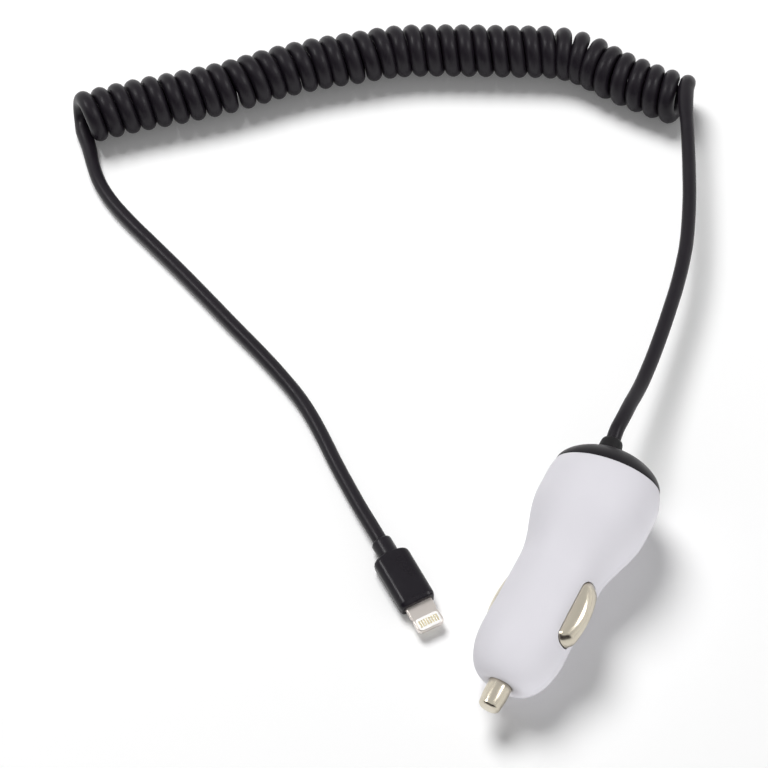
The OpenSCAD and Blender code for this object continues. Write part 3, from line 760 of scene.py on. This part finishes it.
bootSettings = {
    "segments": 120,
    # x, half width, half height, corner radius, all in mm
    "stations": [
        (-4.6, 1.95, 1.95, 1.95), (-4.55, 2.15, 2.15, 2.15), (-4.42, 2.34, 2.34, 2.34),
        (-4.2, 2.46, 2.46, 2.46), (-3.9, 2.5, 2.5, 2.5), (-0.45, 2.5, 2.5, 2.5),
        (-0.15, 2.56, 2.5, 2.5), (-0.03, 2.75, 2.5, 2.5),
        (0.0, 3.3, 2.5, 2.5), (0.05, 3.72, 2.5, 2.4), (0.2, 4.06, 2.52, 2.3), (0.42, 4.29, 2.55, 2.2),
        (0.72, 4.43, 2.58, 2.15), (1.1, 4.49, 2.6, 2.1), (1.6, 4.5, 2.6, 2.1), (7.5, 4.5, 2.6, 2.1),
        (12.9, 4.5, 2.6, 2.1), (13.1, 4.49, 2.59, 2.0), (13.25, 4.45, 2.55, 1.9), (13.95, 4.22, 2.25, 1.45),
        (14.08, 4.15, 2.17, 1.4), (14.16, 4.05, 2.08, 1.35), (14.2, 3.9, 1.95, 1.3),
    ],
}


def roundedPoint(angle, w, h, r):
    c, s = abs(math.cos(angle)), abs(math.sin(angle))
    side = w / max(c, 1e-9)
    top = h / max(s, 1e-9)
    if side * s <= h - r:
        reach = side
    elif top * c <= w - r:
        reach = top
    else:
        dot = c * (w - r) + s * (h - r)
        reach = dot + math.sqrt(max(dot * dot - (w - r) ** 2 - (h - r) ** 2 + r * r, 0.0))
    return reach * math.cos(angle), reach * math.sin(angle)


def makeBoot(settings):
    bm = bmesh.new()
    bmesh.ops.create_circle(bm, cap_ends=False, radius=1.0, segments=settings["segments"],
                            matrix=turned(90, "Y"))
    ring, verts = bm.edges[:], bm.verts[:]
    for k, (x, w, h, r) in enumerate(settings["stations"]):
        if k:
            made = bmesh.ops.extrude_edge_only(bm, edges=ring)["geom"]
            ring, verts = edgesOf(made), vertsOf(made)
        for vert in verts:
            y, z = roundedPoint(math.atan2(vert.co.z, vert.co.y), w, h, r)
            vert.co = (x, y, z)
    bmesh.ops.holes_fill(bm, edges=[e for e in bm.edges if e.is_boundary], sides=0)
    boot = finishMesh(bm, "plugBoot", plugFrame, finishes["boot_black"], creaseAngle=55.0)
    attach(boot, "charger")
    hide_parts("connector_boot")
    return boot


boot = makeBoot(bootSettings)


# the tab: a flat metal plate with a white insert through it and eight pads on each face

tabSettings = {
    "from": 11.2,  # mm along the plug, the first 3 mm are inside the boot
    "to": 21.1,
    "width": 6.7,
    "thickness": 1.5,
    "corner": 1.3,
    "edge": 0.3,
    "notchAt": 17.2,  # the catch on each side
    "notchRadius": 0.75,
    "notchDepth": 0.4,
}
insertSettings = {
    "from": 17.75,
    "to": 20.85,
    "width": 5.8,
    "corner": 0.8,
    "edge": 0.06,
    "proud": 0.03,  # over the tab's face
}
padSettings = {
    "count": 8,
    "pitch": 0.62,
    "at": 19.3,
    "length": 1.8,
    "width": 0.4,
    "depth": 0.3,
    "proud": 0.06,
    "edge": 0.05,
}


def makePlate(start, end, width, thickness, corner, edge):
    bm = bmesh.new()
    bmesh.ops.create_cube(bm, size=1.0)
    bmesh.ops.scale(bm, vec=(end - start, width, thickness), verts=bm.verts[:])
    bmesh.ops.translate(bm, vec=((start + end) / 2, 0, 0), verts=bm.verts[:])
    upright = [e for e in bm.edges if abs(e.verts[0].co.z - e.verts[1].co.z) > thickness / 2]
    bmesh.ops.bevel(bm, geom=upright, offset=corner, segments=10, profile=0.5, affect="EDGES", material=-1)
    rim = [e for e in bm.edges if e.calc_face_angle(0.0) > 1.0]
    bmesh.ops.bevel(bm, geom=rim, offset=edge, segments=4, profile=0.5, affect="EDGES", material=-1)
    return bm


def addPlugPiece(bm, name, slot, *replaced):
    piece = finishMesh(bm, name, plugFrame, finishes[slot], creaseAngle=40.0)
    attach(piece, "charger")
    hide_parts(*replaced)
    return piece


def makeTab(settings):
    bm = makePlate(settings["from"], settings["to"], settings["width"], settings["thickness"],
                   settings["corner"], settings["edge"])
    tab = addPlugPiece(bm, "plugTab", "tab_nickel", "connector_tab")
    for side in (-1, 1):
        bm = bmesh.new()
        radius = settings["notchRadius"]
        out = settings["width"] / 2 + radius - settings["notchDepth"]
        bmesh.ops.create_cone(bm, cap_ends=True, segments=32, radius1=radius, radius2=radius,
                              depth=3 * settings["thickness"],
                              matrix=Matrix.Translation((settings["notchAt"], side * out, 0)))
        cutOut(tab, finishMesh(bm, "notchCutter", plugFrame, finishes["tab_nickel"]))
    return tab


def makeInsert(settings):
    bm = makePlate(settings["from"], settings["to"], settings["width"],
                   tabSettings["thickness"] + 2 * settings["proud"], settings["corner"], settings["edge"])
    return addPlugPiece(bm, "plugInsert", "insert_white", "contact_insert")


def makePads(settings):
    count, top = settings["count"], tabSettings["thickness"] / 2 + settings["proud"]
    start = settings["at"] - settings["length"] / 2
    bm = makePlate(start, start + settings["length"], settings["width"], settings["depth"],
                   settings["edge"], settings["edge"] / 2)
    bmesh.ops.translate(bm, vec=(0, 0, top - settings["depth"] / 2), verts=bm.verts[:])
    first = bm.verts[:] + bm.edges[:] + bm.faces[:]
    places = [(i - (count - 1) / 2) * settings["pitch"] for i in range(count)]
    for place in places[1:]:
        copy = bmesh.ops.duplicate(bm, geom=first)["geom"]
        bmesh.ops.translate(bm, vec=(0, place, 0), verts=vertsOf(copy))
    bmesh.ops.translate(bm, vec=(0, places[0], 0), verts=vertsOf(first))
    copy = bmesh.ops.duplicate(bm, geom=bm.verts[:] + bm.edges[:] + bm.faces[:])["geom"]
    bmesh.ops.rotate(bm, cent=(0, 0, 0), matrix=turned(180, "X"), verts=vertsOf(copy))
    replaced = [f"contact_{face}_{i + 1}" for face in ("top", "bottom") for i in range(count)]
    return addPlugPiece(bm, "plugPads", "contact_gold", *replaced)


plugPieces = [boot, makeTab(tabSettings), makeInsert(insertSettings), makePads(padSettings)]
print("connector ready")


# floor and lights

stageSettings = {
    "floorSize": 6.0,
    "floorColour": (0.9, 0.9, 0.9, 1.0),
    "floorRoughness": 0.9,
    "floorLift": 0.1,  # seen by the camera and in reflections
    "floorBounce": 0.45,  # and what matt surfaces get from below
    "skyFill": 0.33,  # the share of the sky's light that falls on matt surfaces
    "skyTop": 0.68,  # the sky is white low down and darker overhead
    "skyLow": 0.2,  # sine of the elevation at which it starts to darken
    "skyHigh": 0.6,
    "flagColour": (0.05, 0.045, 0.05, 1.0),  # the flag is a dark card that only shows in the metal
    "flagRadius": 1.2,  # m
    "flagLow": 0.04,
    "flagHigh": 1.3,
    "flagFrom": -145.0,  # degrees round from +X, it stands in front of the set
    "flagSweep": 128.0,
    "lampAim": (-0.06, 0.04, 0.0),  # m
    "lamps": {
        # distance and size in metres, power in watts, and what it lights: matt surfaces, the same
        # apart from the floor, or glossy ones
        "key": {
            "towards": (-0.452, 0.282, 0.846), "away": 1.6, "size": 0.85, "power": 25.6, "lights": "matt",
        },
        "fill": {
            "towards": (0.6, -0.45, 0.45), "away": 1.5, "size": 1.2, "power": 16.0, "lights": "mattPieces",
        },
        "gloss": {
            "towards": (-0.64, -0.17, 0.74), "away": 1.6, "size": 0.5, "power": 6.5, "lights": "glossy",
        },
        "rim": {
            "towards": (0.58, 0.27, 0.77), "away": 1.6, "size": 0.62, "power": 6.0, "lights": "glossy",
        },
    },
}


def seenMask(tree):
    path = tree.nodes.new("ShaderNodeLightPath")
    seen = tree.nodes.new("ShaderNodeMath")
    seen.operation = "MAXIMUM"
    tree.links.new(path.outputs["Is Camera Ray"], seen.inputs[0])
    tree.links.new(path.outputs["Is Transmission Ray"], seen.inputs[1])
    mirrored = tree.nodes.new("ShaderNodeMath")
    mirrored.operation = "MAXIMUM"
    tree.links.new(seen.outputs[0], mirrored.inputs[0])
    tree.links.new(path.outputs["Is Glossy Ray"], mirrored.inputs[1])
    return mirrored.outputs[0]


def makeSheet(bm, name, colour, roughness):
    data = bpy.data.meshes.new(name)
    bm.to_mesh(data)
    bm.free()
    sheet = bpy.data.objects.new(name, data)
    bpy.context.scene.collection.objects.link(sheet)
    material = bpy.data.materials.new(name + "Paper")
    material.use_nodes = True
    shader = material.node_tree.nodes["Principled BSDF"]
    shader.inputs["Base Color"].default_value = colour
    shader.inputs["Roughness"].default_value = roughness
    shader.inputs["Specular IOR Level"].default_value = 0.0
    data.materials.append(material)
    return sheet, material.node_tree


def makeFloor(settings):
    bm = bmesh.new()
    bmesh.ops.create_grid(bm, x_segments=1, y_segments=1, size=settings["floorSize"] / 2)
    floor, tree = makeSheet(bm, "floor", settings["floorColour"], settings["floorRoughness"])
    shader = tree.nodes["Principled BSDF"]
    shader.inputs["Emission Color"].default_value = (1.0, 1.0, 1.0, 1.0)
    lift = tree.nodes.new("ShaderNodeMapRange")
    lift.inputs["To Min"].default_value = settings["floorBounce"]
    lift.inputs["To Max"].default_value = settings["floorLift"]
    tree.links.new(seenMask(tree), lift.inputs["Value"])
    tree.links.new(lift.outputs["Result"], shader.inputs["Emission Strength"])


def makeFlag(settings):
    bm = bmesh.new()
    at = turned(settings["flagFrom"], "Z") @ Vector((settings["flagRadius"], 0, 0))
    ends = [bm.verts.new((at.x, at.y, z)) for z in (settings["flagLow"], settings["flagHigh"])]
    bmesh.ops.spin(bm, geom=ends + [bm.edges.new(ends)], cent=(0, 0, 0), axis=(0, 0, 1),
                   angle=math.radians(settings["flagSweep"]), steps=40)
    flag = makeSheet(bm, "flag", settings["flagColour"], 1.0)[0]
    flag.visible_camera = False
    flag.visible_diffuse = False
    flag.visible_transmission = False
    flag.visible_shadow = False


def makeSky(settings):
    world = bpy.data.worlds.new("studio")
    bpy.context.scene.world = world
    world.use_nodes = True
    tree = world.node_tree
    place = tree.nodes.new("ShaderNodeTexCoord")
    split = tree.nodes.new("ShaderNodeSeparateXYZ")
    tree.links.new(place.outputs["Generated"], split.inputs["Vector"])
    shade = tree.nodes.new("ShaderNodeMapRange")
    shade.inputs["From Min"].default_value = settings["skyLow"]
    shade.inputs["From Max"].default_value = settings["skyHigh"]
    shade.inputs["To Min"].default_value = 1.0
    shade.inputs["To Max"].default_value = settings["skyTop"]
    tree.links.new(split.outputs["Z"], shade.inputs["Value"])
    fill = tree.nodes.new("ShaderNodeMapRange")
    fill.inputs["To Min"].default_value = settings["skyFill"]
    fill.inputs["To Max"].default_value = 1.0
    tree.links.new(seenMask(tree), fill.inputs["Value"])
    strength = tree.nodes.new("ShaderNodeMath")
    strength.operation = "MULTIPLY"
    tree.links.new(shade.outputs["Result"], strength.inputs[0])
    tree.links.new(fill.outputs["Result"], strength.inputs[1])
    backdrop = tree.nodes["Background"]
    backdrop.inputs["Color"].default_value = (1.0, 1.0, 1.0, 1.0)
    tree.links.new(strength.outputs[0], backdrop.inputs["Strength"])


def makeLamps(settings):
    aim = Vector(settings["lampAim"])
    for name, lampSettings in settings["lamps"].items():
        lights = lampSettings["lights"]
        data = bpy.data.lights.new(name, "AREA")
        data.shape = "DISK"
        data.size = lampSettings["size"]
        data.energy = lampSettings["power"]
        lamp = bpy.data.objects.new(name, data)
        bpy.context.scene.collection.objects.link(lamp)
        lamp.visible_diffuse = lights != "glossy"
        lamp.visible_glossy = lights == "glossy"
        if lights == "mattPieces":  # the floor is left out and keeps its shadow
            lit = bpy.data.collections.new(name + "Light")
            lit.objects.link(bpy.data.objects["floor"])
            lit.collection_objects[0].light_linking.link_state = "EXCLUDE"
            lamp.light_linking.receiver_collection = lit
        towards = Vector(lampSettings["towards"]).normalized()
        lamp.location = aim + towards * lampSettings["away"]
        lamp.rotation_mode = "QUATERNION"
        lamp.rotation_quaternion = (-towards).to_track_quat("-Z", "Y")


makeFloor(stageSettings)
makeFlag(stageSettings)
makeSky(stageSettings)
makeLamps(stageSettings)
print("stage ready")
